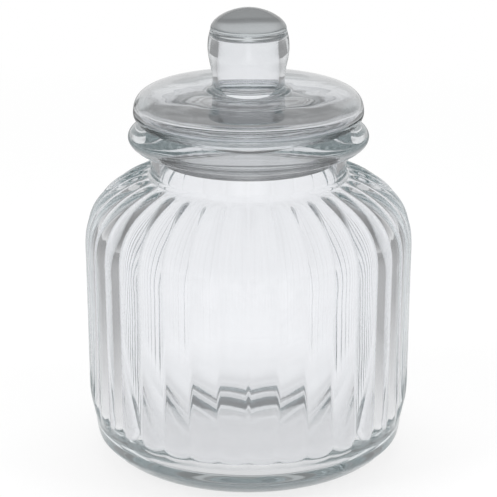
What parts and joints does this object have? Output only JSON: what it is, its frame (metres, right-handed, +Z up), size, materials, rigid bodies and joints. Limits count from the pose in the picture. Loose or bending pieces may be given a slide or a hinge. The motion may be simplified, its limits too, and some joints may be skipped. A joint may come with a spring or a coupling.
{
  "type": "lidded glass canister",
  "caption": "Round ribbed clear-glass canister with a short neck, a rolled rim, a soft lipped seal and a lift-off hollow glass lid with a domed knob.",
  "frame": {"origin": "middle of the ring that the jar stands on, at the surface it stands on", "axes": "+Z up along the jar's axis; the jar is round, and a valley between two ribs faces -Y"},
  "size_m": [0.1694, 0.1694, 0.2366],
  "materials": {
    "jar_glass": "clear, fire-polished, faint blue-green where thick",
    "lid_glass": "clear, fire-polished, faint blue-green where thick",
    "seal": "translucent, satin"
  },
  "bodies": {
    "jar": {"jar_body": "jar_glass"},
    "lid": {"lid": "lid_glass"},
    "seal": {"seal_ring": "seal"}
  },
  "joints": [
    {"name": "lid_lift", "type": "slide", "parent": "jar", "child": "lid", "axis": [0, 0, 1], "range_m": [0, 0.1]},
    {"name": "seal_slide", "type": "slide", "parent": "lid", "child": "seal", "axis": [0, 0, -1], "range_m": [0, 0.024]}
  ]
}
